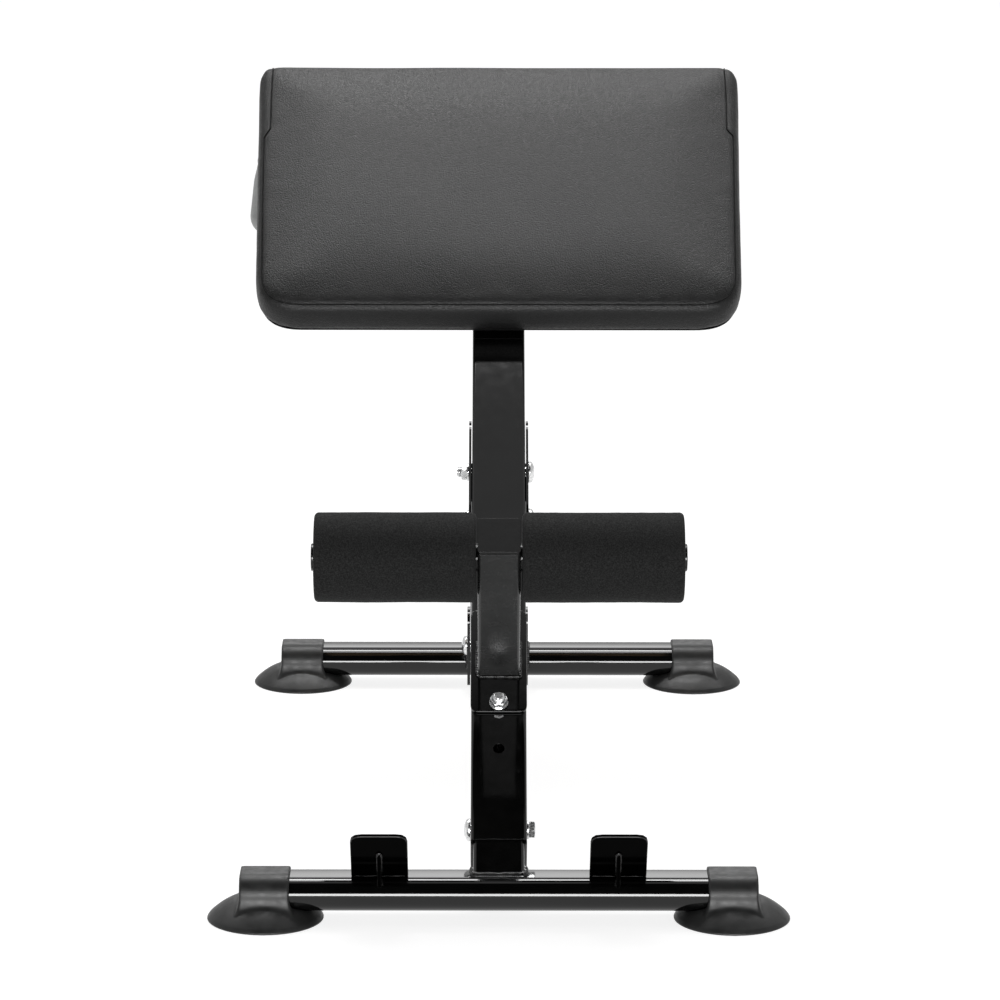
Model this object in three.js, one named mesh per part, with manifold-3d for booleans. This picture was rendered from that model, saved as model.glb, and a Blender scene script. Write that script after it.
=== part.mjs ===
// Hyperextension roman chair. An inclined beam stands on two cross feet and a rear strut,
// carries a wide hip pad with two hand grips behind it, and a short arm square to the beam
// carries two foam ankle rollers that turn on one axle.
//
// Millimetres, +Z up, X across the chair. The user stands at -Y and leans over the pad to +Y.
// The origin is on the floor, under the middle of the chair.

import * as THREE from 'three';
import { mergeVertices } from 'three/addons/utils/BufferGeometryUtils.js';
import Module from 'manifold-3d';

// ---------------------------------------------------------------- driving dimensions

const GAP = 0.3; // between pieces that touch
const SIDES = { left: -1, right: 1 };

const BASE = {
  spacing: 819, halfLength: 226, depth: 50, height: 30.5, floorClearance: 10.5, wall: 2,
};
const FOOT = {
  discRadius: 51.5, discEdge: 2.4, domeHeight: 18, domeFlat: 26, domePower: 1.6,
  x: 205.5, capLength: 44, capWall: 3, capBottom: 8, waist: 26, flareX: 4.5, flareY: 6,
};
const BEAM = {
  tilt: THREE.MathUtils.degToRad(39), size: 50, wall: 2, corner: 3, length: 930,
  setback: 20.3, height: 66.4, frontBolt: 27,
};
const STUB = { size: 45, wall: 2.5, corner: 3, reach: 72, drop: 80, lowest: 12 };
const ARM = {
  d: 194, size: 38, wall: 2, corner: 3, length: 183, capThickness: 4, holePitch: 48,
  plateWidth: 51, plateLength: 115, plateThickness: 3, plateCorner: 7,
};
const AXLE = { height: 155.5, radius: 12.5, wall: 1.5, halfLength: 163 };
const FOAM = { radius: 40, bore: 13.4, inner: 20.4, outer: 163, edge: 4 };
const APEX = { d: 437, earTop: 56, earHalfWidth: 22.5, lowerBoltDrop: 57 };
const STRUT = { width: 56, depth: 45, wall: 2.2, corner: 3, beyondBolt: 12 };
const REAR_BOLT = { setback: 39, height: 50 };
const CHEEK = {
  inner: 28.6, thickness: 3, reach: 64, bottom: 12, top: 92, topLength: 36, tail: 10,
  lowCorner: 6, highCorner: 14,
};
const FOOT_PLATE = { x: 104.5, width: 50, length: 63.5, thickness: 3.3, corner: 10, rootY: -5 };
const GUSSET = { thickness: 3, height: 38, reach: 20.4 };
const PAD = {
  start: 585, end: 907, back: 7, front: 45, lowWidth: 464, highWidth: 476,
  lowCorner: 42, highCorner: 14, edge: 4,
};
const BOARD = { thickness: 12, inset: 13 };
const PAD_BAR = {
  length: 240, width: 40, thickness: 6.4, corner: 6, boltX: 90, places: { lower: 650, upper: 815 },
};
const HANDLE = {
  d: 912, radius: 12.5, wall: 1.6, bend: 38, splay: THREE.MathUtils.degToRad(2.5), cornerX: 221.6,
  legLength: 124, offset: -4,
};
const GRIP = {
  mouthRadius: 16.4, radius: 18.4, length: 94, swell: 34, bore: 12.9, end: 9, endRound: 20, endPower: 2.4,
};
const M10 = { radius: 5, headRadius: 10.3, headHeight: 5.6, nutRadius: 9, nutHeight: 7, spare: 4 };
const M8 = { radius: 4, headRadius: 8, headHeight: 4.5, spare: 3 };
const LINER = { rim: 3, insert: 12, corner: 2 };
const BORE_CORNER = 1; // inside corners of the square tubes

const ROUND = { small: 12, medium: 24, foot: 36 }; // sides of round pieces
const OVAL_STEPS = 6;
const CORNER_STEPS = 2;

const frontBaseY = -BASE.spacing / 2;
const rearBaseY = BASE.spacing / 2;
const baseZ = BASE.floorClearance + BASE.height / 2;

// ---------------------------------------------------------------- materials

const finishes = {
  blackPaint: { color: 0x0f1011, roughness: 0.22, metalness: 0.1 },
  rubber: { color: 0x2f3131, roughness: 0.62, metalness: 0 },
  foam: { color: 0x161717, roughness: 0.95, metalness: 0 },
  leather: { color: 0x343636, roughness: 0.55, metalness: 0 },
  plastic: { color: 0x242626, roughness: 0.5, metalness: 0 },
  zinc: { color: 0xb9bcc0, roughness: 0.3, metalness: 1 },
  plywood: { color: 0xa9845a, roughness: 0.8, metalness: 0 },
};

const model = new THREE.Group();

function add(parent, name, geometry, finish) {
  const mesh = new THREE.Mesh(geometry, new THREE.MeshStandardMaterial(finishes[finish]));
  mesh.name = name;
  parent.add(mesh);
  return mesh;
}

// ---------------------------------------------------------------- solid joins and cuts

const wasm = await Module();
wasm.setup();

function toManifold(geometry) {
  const bare = geometry.clone();
  bare.deleteAttribute('normal');
  bare.deleteAttribute('uv');
  const merged = mergeVertices(bare);
  return new wasm.Manifold(new wasm.Mesh({
    numProp: 3,
    vertProperties: Float32Array.from(merged.attributes.position.array),
    triVerts: Uint32Array.from(merged.index.array),
  }));
}

function toGeometry(solid) {
  const mesh = solid.getMesh();
  const geometry = new THREE.BufferGeometry();
  geometry.setAttribute('position', new THREE.BufferAttribute(Float32Array.from(mesh.vertProperties), 3));
  geometry.setIndex(new THREE.BufferAttribute(Uint32Array.from(mesh.triVerts), 1));
  geometry.computeVertexNormals();
  return geometry;
}

function join(first, ...others) {
  return toGeometry(others.reduce((solid, other) => solid.add(toManifold(other)), toManifold(first)));
}

function cut(body, ...tools) {
  return toGeometry(tools.reduce((solid, tool) => solid.subtract(toManifold(tool)), toManifold(body)));
}

// ---------------------------------------------------------------- outlines and basic solids

function roundedRect(width, height, radius) {
  const shape = new THREE.Shape();
  const x = width / 2 - radius;
  const y = height / 2 - radius;
  shape.absarc(x, y, radius, 0, Math.PI / 2);
  shape.absarc(-x, y, radius, Math.PI / 2, Math.PI);
  shape.absarc(-x, -y, radius, Math.PI, 1.5 * Math.PI);
  shape.absarc(x, -y, radius, 1.5 * Math.PI, 2 * Math.PI);
  return shape;
}

function oval(width, height) {
  const shape = new THREE.Shape();
  const radius = height / 2;
  shape.absarc(width / 2 - radius, 0, radius, -Math.PI / 2, Math.PI / 2);
  shape.absarc(radius - width / 2, 0, radius, Math.PI / 2, 1.5 * Math.PI);
  return shape;
}

// A polygon with each corner rounded off over its own run: corners are [x, y, run].
function roundedPolygon(corners) {
  const shape = new THREE.Shape();
  const at = (i) => new THREE.Vector2(...corners[(i + corners.length) % corners.length]);
  corners.forEach(([x, y, run], i) => {
    const corner = new THREE.Vector2(x, y);
    const before = at(i - 1).sub(corner).setLength(run).add(corner);
    const after = at(i + 1).sub(corner).setLength(run).add(corner);
    if (i === 0) shape.moveTo(before.x, before.y);
    else shape.lineTo(before.x, before.y);
    if (run > 0) shape.quadraticCurveTo(x, y, after.x, after.y);
  });
  shape.closePath();
  return shape;
}

function hollow(outer, inner) {
  outer.holes.push(inner);
  return outer;
}

// Extrusions along each axis, with the outline drawn in the other two axes.
function alongZ(shape, from, to, steps = CORNER_STEPS) {
  const options = { depth: to - from, bevelEnabled: false, curveSegments: steps };
  return new THREE.ExtrudeGeometry(shape, options).translate(0, 0, from);
}

function alongX(shape, from, to, steps = CORNER_STEPS) {
  const turn = new THREE.Matrix4().makeBasis(
    new THREE.Vector3(0, 1, 0), new THREE.Vector3(0, 0, 1), new THREE.Vector3(1, 0, 0),
  );
  return alongZ(shape, from, to, steps).applyMatrix4(turn);
}

function alongY(shape, from, to, steps = CORNER_STEPS) {
  return alongZ(shape, -to, -from, steps).rotateX(Math.PI / 2);
}

function box(x, y, z) {
  const size = [x[1] - x[0], y[1] - y[0], z[1] - z[0]];
  const middle = [x, y, z].map(([low, high]) => (low + high) / 2);
  return new THREE.BoxGeometry(...size).translate(...middle);
}

function rod(radius, length, sides = ROUND.small) {
  return new THREE.CylinderGeometry(radius, radius, length, sides);
}

const rodAlongX = (radius, length, sides) => rod(radius, length, sides).rotateZ(-Math.PI / 2);
const rodAlongZ = (radius, length, sides) => rod(radius, length, sides).rotateX(Math.PI / 2);

// A turned piece: profile points are [radius, height], and the axis is Z.
function turned(profile, sides) {
  const points = profile.map(([radius, height]) => new THREE.Vector2(radius, height));
  return new THREE.LatheGeometry(points, sides).rotateX(Math.PI / 2);
}

// ---------------------------------------------------------------- frames that pieces are laid out in

function tiltedFrame(y, z, tilt) {
  const frame = new THREE.Group();
  frame.position.set(0, y, z);
  frame.rotation.x = tilt;
  frame.updateMatrix();
  model.add(frame);
  return frame;
}

// Beam frame: Y runs up the beam, Z points out of its front face, which is at zero.
const beamFrame = tiltedFrame(frontBaseY + BEAM.setback, BEAM.height, BEAM.tilt);
const beamMiddle = -BEAM.size / 2;

// Strut frame: starts at the apex bolt and runs down to the rear bolt.
const apex = new THREE.Vector3(0, APEX.d, beamMiddle).applyMatrix4(beamFrame.matrix);
const rearBolt = new THREE.Vector3(0, rearBaseY - REAR_BOLT.setback, REAR_BOLT.height);
const strutLength = rearBolt.distanceTo(apex);
const strutTilt = Math.atan2(rearBolt.z - apex.z, rearBolt.y - apex.y);
const strutFrame = tiltedFrame(apex.y, apex.z, strutTilt);

const inModel = (geometry, frame) => geometry.applyMatrix4(frame.matrix);

// ---------------------------------------------------------------- cross feet

function baseEnvelope(y, halfLength = BASE.halfLength + 1) {
  const shape = oval(BASE.depth + 2 * GAP, BASE.height + 2 * GAP);
  return alongX(shape, -halfLength, halfLength, OVAL_STEPS).translate(0, y, baseZ);
}

function baseTube() {
  const inner = oval(BASE.depth - 2 * BASE.wall, BASE.height - 2 * BASE.wall);
  const section = hollow(oval(BASE.depth, BASE.height), inner);
  return alongX(section, -BASE.halfLength, BASE.halfLength, OVAL_STEPS);
}

// A cap that wraps the tube's end and flares out below its waist, on a wide low dome.
function rubberFoot(side) {
  const foot = cut(join(footDome(), footCap()), footSocket());
  return side > 0 ? foot : foot.rotateZ(Math.PI);
}

function footDome() {
  const rings = [0, 0.25, 0.5, 0.75, 1].map((part) => [
    THREE.MathUtils.lerp(FOOT.discRadius, FOOT.domeFlat, part),
    THREE.MathUtils.lerp(FOOT.domeHeight, FOOT.discEdge, (1 - part) ** FOOT.domePower),
  ]);
  return turned([
    [0, 0], [FOOT.discRadius - 1, 0], [FOOT.discRadius, 1], ...rings, [0, FOOT.domeHeight],
  ], ROUND.foot);
}

function footCap() {
  const depth = BASE.depth + 2 * FOOT.capWall;
  const height = BASE.height + 2 * FOOT.capWall;
  const half = FOOT.capLength / 2;
  const wrap = alongX(oval(depth, height), -half, half, OVAL_STEPS).translate(0, 0, baseZ);
  const skirt = box([-half, half], [-depth / 2, depth / 2], [FOOT.capBottom, FOOT.waist]);
  const position = skirt.attributes.position;
  for (let i = 0; i < position.count; i += 1) {
    if (position.getZ(i) < FOOT.waist) {
      position.setX(i, position.getX(i) + Math.sign(position.getX(i)) * FOOT.flareX);
      position.setY(i, position.getY(i) + Math.sign(position.getY(i)) * FOOT.flareY);
    }
  }
  return join(wrap, skirt);
}

function footSocket() {
  const tubeEnd = BASE.halfLength + GAP - FOOT.x;
  return baseEnvelope(0, FOOT.capLength).translate(tubeEnd - FOOT.capLength, 0, 0);
}

for (const [end, y] of Object.entries({ front: frontBaseY, rear: rearBaseY })) {
  add(model, `${end}_base_tube`, baseTube(), 'blackPaint').position.set(0, y, baseZ);
  for (const [sideName, side] of Object.entries(SIDES)) {
    const foot = add(model, `rubber_foot_${end}_${sideName}`, rubberFoot(side), 'rubber');
    foot.position.set(side * FOOT.x, y, 0);
  }
}

// ---------------------------------------------------------------- foot plates on the front tube

function footPlate() {
  const half = FOOT_PLATE.width / 2;
  const outline = roundedPolygon([
    [-half, -FOOT_PLATE.corner, 0], [half, -FOOT_PLATE.corner, 0],
    [half, FOOT_PLATE.length, FOOT_PLATE.corner], [-half, FOOT_PLATE.length, FOOT_PLATE.corner],
  ]);
  return alongY(outline, -FOOT_PLATE.thickness, 0, 3);
}

function gusset() {
  const plateBack = -FOOT_PLATE.thickness - GAP;
  const outline = roundedPolygon([
    [plateBack, -FOOT_PLATE.corner, 0], [plateBack, GUSSET.height, 0],
    [plateBack - GUSSET.reach, -FOOT_PLATE.corner, 0],
  ]);
  return alongX(outline, -GUSSET.thickness / 2, GUSSET.thickness / 2);
}

// Both stand square to the beam, and are trimmed to the tube that they are welded on.
for (const [sideName, side] of Object.entries(SIDES)) {
  const place = new THREE.Matrix4().makeRotationX(BEAM.tilt);
  place.setPosition(side * FOOT_PLATE.x, frontBaseY + FOOT_PLATE.rootY, baseZ + BASE.height / 2 + GAP);
  const tube = baseEnvelope(frontBaseY);
  add(model, `foot_plate_${sideName}`, cut(footPlate().applyMatrix4(place), tube), 'blackPaint');
  add(model, `foot_gusset_${sideName}`, cut(gusset().applyMatrix4(place), tube), 'blackPaint');
}

// ---------------------------------------------------------------- stub and main beam

// The stub stands inside the beam's foot. It is coped over the top and back of the front tube.
function frontStub() {
  const inner = roundedRect(STUB.size - 2 * STUB.wall, STUB.size - 2 * STUB.wall, BORE_CORNER);
  const section = hollow(roundedRect(STUB.size, STUB.size, STUB.corner), inner);
  const tube = alongY(section, -STUB.drop, STUB.reach).translate(0, 0, beamMiddle);
  const bolt = rodAlongX(M10.radius + GAP, 2 * BEAM.size).translate(0, BEAM.frontBolt, beamMiddle);
  const far = 2 * STUB.drop;
  return cut(
    inModel(cut(tube, bolt), beamFrame),
    baseEnvelope(frontBaseY),
    box([-far, far], [-2 * BASE.spacing, 2 * BASE.spacing], [-far, STUB.lowest]),
    box([-far, far], [-2 * BASE.spacing, frontBaseY], [-far, baseZ + BASE.height / 2 + GAP]),
  );
}

const armBolts = { lower: ARM.d - ARM.holePitch, upper: ARM.d + ARM.holePitch };
const armHoles = [ARM.d - 2 * ARM.holePitch, armBolts.lower, ARM.d, armBolts.upper];
const apexBolts = { upper: APEX.d, lower: APEX.d - APEX.lowerBoltDrop };

function mainBeam() {
  const inner = roundedRect(BEAM.size - 2 * BEAM.wall, BEAM.size - 2 * BEAM.wall, BORE_CORNER);
  const section = hollow(roundedRect(BEAM.size, BEAM.size, BEAM.corner), inner);
  const tube = alongY(section, 0, BEAM.length).translate(0, 0, beamMiddle);
  const crossHoles = [BEAM.frontBolt, ...Object.values(apexBolts)].map(
    (d) => rodAlongX(M10.radius + GAP, 2 * BEAM.size).translate(0, d, beamMiddle),
  );
  const faceHoles = armHoles.map(
    (d) => rodAlongZ(M10.radius + GAP, 2 * BEAM.size).translate(0, d, beamMiddle),
  );
  return cut(tube, ...crossHoles, ...faceHoles);
}

// A square plastic end plug: a rim plate and an insert, pointing up Y from the tube's end.
function endPlug(size, wall, rim) {
  const plate = alongY(roundedRect(size, size, LINER.corner), GAP, rim + GAP);
  const insertSize = size - 2 * wall - 2 * GAP;
  const insert = alongY(roundedRect(insertSize, insertSize, BORE_CORNER), -LINER.insert, rim);
  return join(plate, insert);
}

add(model, 'front_stub', frontStub(), 'blackPaint');
add(beamFrame, 'main_beam', mainBeam(), 'blackPaint');
add(beamFrame, 'beam_top_plug', endPlug(BEAM.size, BEAM.wall, LINER.rim), 'plastic')
  .position.set(0, BEAM.length, beamMiddle);

// ---------------------------------------------------------------- rear strut and its bracket

// A rectangular tube whose side walls run on as ears, one on each side of the beam.
function rearStrut() {
  const half = STRUT.width / 2;
  const bore = [STRUT.width - 2 * STRUT.wall, STRUT.depth - 2 * STRUT.wall];
  const inner = roundedRect(...bore, BORE_CORNER);
  const section = hollow(roundedRect(STRUT.width, STRUT.depth, STRUT.corner), inner);
  const tube = inModel(alongY(section, 0, strutLength + STRUT.beyondBolt), strutFrame);

  const earEnds = [apexBolts.lower - APEX.earHalfWidth, apexBolts.upper + APEX.earTop];
  const ear = oval(earEnds[1] - earEnds[0], 2 * APEX.earHalfWidth);
  const earMiddle = (earEnds[0] + earEnds[1]) / 2;
  const ears = [[-half, -half + STRUT.wall], [half - STRUT.wall, half]].map(([from, to]) => {
    const plate = alongX(ear, from, to, OVAL_STEPS).translate(0, earMiddle, beamMiddle);
    return inModel(plate, beamFrame);
  });

  const room = half - STRUT.wall;
  const beamRoom = box([-room, room], [0, BEAM.length], [-BEAM.size - 2 * GAP, 2 * GAP]);
  const holes = Object.values(apexBolts).map(
    (d) => inModel(rodAlongX(M10.radius + GAP, 2 * STRUT.width).translate(0, d, beamMiddle), beamFrame),
  );
  const rearHole = rodAlongX(M10.radius + GAP, 2 * STRUT.width).translate(0, rearBolt.y, rearBolt.z);
  return cut(join(tube, ...ears), inModel(beamRoom, beamFrame), ...holes, rearHole);
}

// A flat cheek that stands on the front and top of the rear tube, outside the strut.
function rearCheek(side) {
  const outline = roundedPolygon([
    [-CHEEK.reach, CHEEK.bottom, CHEEK.lowCorner], [-BASE.depth / 3, CHEEK.bottom, 0],
    [CHEEK.tail, baseZ, 0], [CHEEK.tail, baseZ + BASE.depth / 2, CHEEK.lowCorner],
    [CHEEK.topLength - CHEEK.reach, CHEEK.top, CHEEK.highCorner],
    [-CHEEK.reach, CHEEK.top, CHEEK.highCorner],
  ]);
  const faces = [CHEEK.inner, CHEEK.inner + CHEEK.thickness].map((x) => side * x);
  const plate = alongX(outline, Math.min(...faces), Math.max(...faces), 3).translate(0, rearBaseY, 0);
  const hole = rodAlongX(M10.radius + GAP, 4 * CHEEK.inner).translate(0, rearBolt.y, rearBolt.z);
  return cut(plate, baseEnvelope(rearBaseY), hole);
}

add(model, 'rear_strut', rearStrut(), 'blackPaint');
for (const [sideName, side] of Object.entries(SIDES)) {
  add(model, `rear_cheek_${sideName}`, rearCheek(side), 'blackPaint');
}

// ---------------------------------------------------------------- fasteners

// A dome-head bolt: the head rises from zero and the shank goes down Z.
function domeBolt({ radius, headRadius, headHeight }, length) {
  return turned([
    [0, -length], [radius, -length], [radius, 0], [headRadius, 0], [headRadius, 1],
    [headRadius * 0.72, headHeight * 0.75], [headRadius * 0.35, headHeight], [0, headHeight],
  ], ROUND.small);
}

// A hexagonal nut with a round bore, standing on zero.
function hexNut(height = M10.nutHeight) {
  const hexagon = new THREE.CylinderGeometry(M10.nutRadius, M10.nutRadius, height, 6);
  const bore = rod(M10.radius + GAP, 2 * height);
  return cut(hexagon, bore).rotateX(Math.PI / 2).translate(0, 0, height / 2);
}

// Bolt across the chair: head against one side, and its nut against the other.
function crossBolt(name, parent, { y, z, half, headSide, tail }) {
  const bolt = add(parent, `${name}_bolt`, domeBolt(M10, 2 * half + 2 * GAP + tail), 'zinc');
  bolt.position.set(headSide * (half + GAP), y, z);
  bolt.rotation.y = headSide * Math.PI / 2;
}

function crossNut(name, parent, { x, y, z, facing }) {
  const nut = add(parent, `${name}_nut`, hexNut(), 'zinc');
  nut.position.set(x, y, z);
  nut.rotation.y = facing * Math.PI / 2;
}

const frontHalf = BEAM.size / 2;
crossBolt('front_cross', beamFrame, {
  y: BEAM.frontBolt, z: beamMiddle, half: frontHalf, headSide: -1, tail: M10.nutHeight + GAP,
});
crossNut('front_cross', beamFrame, { x: frontHalf + GAP, y: BEAM.frontBolt, z: beamMiddle, facing: 1 });

const strutHalf = STRUT.width / 2;
for (const [level, d] of Object.entries(apexBolts)) {
  const tail = M10.nutHeight + M10.spare;
  crossBolt(`apex_${level}`, beamFrame, { y: d, z: beamMiddle, half: strutHalf, headSide: 1, tail });
  crossNut(`apex_${level}`, beamFrame, { x: -strutHalf - GAP, y: d, z: beamMiddle, facing: -1 });
}

// The rear bolt ends flush in the right cheek. Its nut is captive inside the strut.
const cheekHalf = CHEEK.inner + CHEEK.thickness;
crossBolt('rear', model, { y: rearBolt.y, z: rearBolt.z, half: cheekHalf, headSide: -1, tail: -GAP });
crossNut('rear', model, {
  x: strutHalf - STRUT.wall - GAP, y: rearBolt.y, z: rearBolt.z, facing: -1,
});

// ---------------------------------------------------------------- ankle roller arm

function armPlate() {
  const { plateWidth: width, plateLength: length, plateCorner: corner } = ARM;
  const outline = roundedPolygon([
    [-width / 2, -length / 2, corner], [width / 2, -length / 2, corner],
    [width / 2, length / 2, corner], [-width / 2, length / 2, corner],
  ]);
  const plate = alongZ(outline, GAP, GAP + ARM.plateThickness, 3);
  const holes = [-1, 1].map(
    (sign) => rodAlongZ(M10.radius + GAP, BEAM.size).translate(0, sign * ARM.holePitch, 0),
  );
  return cut(plate, ...holes);
}

function rollerArm() {
  const inner = roundedRect(ARM.size - 2 * ARM.wall, ARM.size - 2 * ARM.wall, BORE_CORNER);
  const section = hollow(roundedRect(ARM.size, ARM.size, ARM.corner), inner);
  const tube = alongZ(section, armRoot, ARM.length);
  const axleHole = rodAlongX(AXLE.radius + GAP, 2 * ARM.size, ROUND.medium);
  return cut(tube, axleHole.translate(0, 0, AXLE.height));
}

// A foam sleeve with softly rounded ends, along X.
function foamRoller() {
  const { radius, bore, edge } = FOAM;
  const half = (FOAM.outer - FOAM.inner) / 2;
  const profile = [
    [bore, -half], [radius - edge, -half], [radius, edge - half],
    [radius, half - edge], [radius - edge, half], [bore, half], [bore, -half],
  ];
  return turned(profile, ROUND.medium).rotateY(Math.PI / 2);
}

function axlePlug() {
  const insert = AXLE.radius - AXLE.wall - GAP;
  const flange = AXLE.radius - GAP;
  return turned([
    [0, -LINER.insert], [insert, -LINER.insert], [insert, GAP], [flange, GAP], [flange, 2],
    [flange - 1, LINER.rim], [0, LINER.rim],
  ], ROUND.medium);
}

const armRoot = 2 * GAP + ARM.plateThickness;
const armFrame = new THREE.Group();
armFrame.position.set(0, ARM.d, 0);
beamFrame.add(armFrame);

add(armFrame, 'arm_plate', armPlate(), 'blackPaint');
add(armFrame, 'roller_arm', rollerArm(), 'blackPaint');
const armCap = add(armFrame, 'arm_end_cap', endPlug(ARM.size, ARM.wall, ARM.capThickness), 'plastic');
armCap.position.set(0, 0, ARM.length);
armCap.rotation.x = Math.PI / 2;

for (const [level, d] of Object.entries(armBolts)) {
  const length = BEAM.size + GAP + armRoot + M10.nutHeight + M10.spare;
  const bolt = add(beamFrame, `arm_${level}_bolt`, domeBolt(M10, length), 'zinc');
  bolt.position.set(0, d, -BEAM.size - GAP);
  bolt.rotation.x = Math.PI;
  add(beamFrame, `arm_${level}_nut`, hexNut(), 'zinc').position.set(0, d, armRoot);
}

const axleInner = rodAlongX(AXLE.radius - AXLE.wall, 4 * AXLE.halfLength, ROUND.medium);
const axleOuter = rodAlongX(AXLE.radius, 2 * AXLE.halfLength, ROUND.medium);
add(armFrame, 'roller_axle', cut(axleOuter, axleInner), 'blackPaint').position.set(0, 0, AXLE.height);
for (const [sideName, side] of Object.entries(SIDES)) {
  const foam = add(armFrame, `foam_roller_${sideName}`, foamRoller(), 'foam');
  foam.position.set(side * (FOAM.inner + FOAM.outer) / 2, 0, AXLE.height);
  const plug = add(armFrame, `axle_plug_${sideName}`, axlePlug(), 'plastic');
  plug.position.set(side * AXLE.halfLength, 0, AXLE.height);
  plug.rotation.y = side * Math.PI / 2;
}

// ---------------------------------------------------------------- hip pad

function padOutline(inset) {
  const low = PAD.lowWidth / 2 - inset;
  const high = PAD.highWidth / 2 - inset;
  const start = PAD.start + inset;
  const end = PAD.end - inset;
  return roundedPolygon([
    [-low, start, PAD.lowCorner], [low, start, PAD.lowCorner],
    [high, end, PAD.highCorner], [-high, end, PAD.highCorner],
  ]);
}

// The cushion wraps over the board's edges, so its back has a recess that holds the board.
function padCushion() {
  const cover = new THREE.ExtrudeGeometry(padOutline(PAD.edge), {
    depth: PAD.front - PAD.back - 2 * PAD.edge, curveSegments: 4,
    bevelThickness: PAD.edge, bevelSize: PAD.edge, bevelSegments: 2,
  }).translate(0, 0, PAD.back + PAD.edge);
  const recess = alongZ(padOutline(BOARD.inset - GAP), 0, PAD.back + BOARD.thickness + GAP, 4);
  return cut(cover, recess);
}

function boltHoles(radius, d) {
  return [-1, 1].map((side) => rodAlongZ(radius, BEAM.size).translate(side * PAD_BAR.boltX, d, 0));
}

function padBoard() {
  const board = alongZ(padOutline(BOARD.inset), PAD.back, PAD.back + BOARD.thickness, 4);
  const reach = 2 * (PAD.back + BOARD.thickness) - M8.spare;
  const holes = Object.values(PAD_BAR.places).flatMap((d) => [-1, 1].map(
    (side) => rodAlongZ(M8.radius + GAP, reach).translate(side * PAD_BAR.boltX, d, 0),
  ));
  return cut(board, ...holes);
}

function padBar(d) {
  const outline = roundedRect(PAD_BAR.length, PAD_BAR.width, PAD_BAR.corner);
  const bar = alongZ(outline, GAP, GAP + PAD_BAR.thickness);
  return cut(bar.translate(0, d, 0), ...boltHoles(M8.radius + GAP, d));
}

add(beamFrame, 'pad_cushion', padCushion(), 'leather');
add(beamFrame, 'pad_board', padBoard(), 'plywood');
for (const [level, d] of Object.entries(PAD_BAR.places)) {
  add(beamFrame, `pad_bar_${level}`, padBar(d), 'blackPaint');
  for (const [sideName, side] of Object.entries(SIDES)) {
    const length = PAD.back + BOARD.thickness - M8.spare;
    const bolt = add(beamFrame, `pad_bolt_${level}_${sideName}`, domeBolt(M8, length), 'zinc');
    bolt.position.set(side * PAD_BAR.boltX, d, 0);
    bolt.rotation.x = Math.PI;
  }
}

// ---------------------------------------------------------------- handlebar and grips

// Curves joined end to end, each stepped its own number of times.
class SteppedPath extends THREE.Curve {
  constructor(pieces) {
    super();
    this.pieces = pieces;
    this.steps = pieces.reduce((sum, piece) => sum + piece.steps, 0);
  }

  getUtoTmapping(u) {
    return u;
  }

  getPoint(t) {
    let step = t * this.steps;
    for (const { curve, steps } of this.pieces) {
      if (step <= steps) return curve.getPoint(step / steps);
      step -= steps;
    }
    return this.pieces.at(-1).curve.getPoint(1);
  }
}

const legDirection = new THREE.Vector3(Math.sin(HANDLE.splay), -Math.cos(HANDLE.splay), 0);
const handleZ = -BEAM.size - GAP - HANDLE.radius;
const handleCorner = new THREE.Vector3(HANDLE.cornerX, HANDLE.d, handleZ);
const legEnd = handleCorner.clone().addScaledVector(legDirection, HANDLE.legLength);
const mirrored = (point) => point.clone().multiply(new THREE.Vector3(-1, 1, 1));

// A bar across the back of the beam, bent down at both ends into two legs.
function handlePath() {
  const turn = Math.PI / 2 - HANDLE.splay;
  const tangent = HANDLE.bend * Math.tan(turn / 2);
  const lever = HANDLE.bend * Math.tan(turn / 4) * 4 / 3;
  const across = new THREE.Vector3(1, 0, 0);
  const bendStart = handleCorner.clone().addScaledVector(across, -tangent);
  const bendEnd = handleCorner.clone().addScaledVector(legDirection, tangent);
  const inLever = bendStart.clone().addScaledVector(across, lever);
  const outLever = bendEnd.clone().addScaledVector(legDirection, -lever);
  const right = [bendStart, inLever, outLever, bendEnd];
  const left = right.map(mirrored).reverse();
  return new SteppedPath([
    { curve: new THREE.LineCurve3(mirrored(legEnd), left[0]), steps: 1 },
    { curve: new THREE.CubicBezierCurve3(...left), steps: 8 },
    { curve: new THREE.LineCurve3(left[3], bendStart), steps: 1 },
    { curve: new THREE.CubicBezierCurve3(...right), steps: 8 },
    { curve: new THREE.LineCurve3(bendEnd, legEnd), steps: 1 },
  ]);
}

function circle(radius) {
  return new THREE.Shape().absarc(0, 0, radius, 0, 2 * Math.PI);
}

function handlebar() {
  const path = handlePath();
  const section = hollow(circle(HANDLE.radius), circle(HANDLE.radius - HANDLE.wall));
  return new THREE.ExtrudeGeometry(section, { steps: path.steps, extrudePath: path, curveSegments: 8 });
}

// A closed rubber sleeve that swells from its mouth, with a round end up.
function grip() {
  const { mouthRadius, radius, length, swell, bore, end, endRound, endPower } = GRIP;
  const mouth = end - length;
  const roundEnd = [1, 0.75, 0.5, 0.25].map((part) => [
    radius * Math.sqrt(1 - (1 - part) ** endPower), end - endRound * part,
  ]);
  return turned([
    [bore, mouth], [mouthRadius - 1, mouth], [mouthRadius, mouth + 1], [radius, mouth + swell],
    ...roundEnd, [0, end], [0, GAP], [bore, GAP], [bore, mouth],
  ], ROUND.medium);
}

const handleFrame = new THREE.Group();
handleFrame.position.x = HANDLE.offset;
beamFrame.add(handleFrame);
add(handleFrame, 'handlebar', handlebar(), 'blackPaint');
for (const [sideName, side] of Object.entries(SIDES)) {
  const sleeve = add(handleFrame, `grip_${sideName}`, grip(), 'rubber');
  sleeve.position.copy(side > 0 ? legEnd : mirrored(legEnd));
  const direction = side > 0 ? legDirection : mirrored(legDirection);
  sleeve.quaternion.setFromUnitVectors(new THREE.Vector3(0, 0, 1), direction);
}

export default model;
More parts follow.
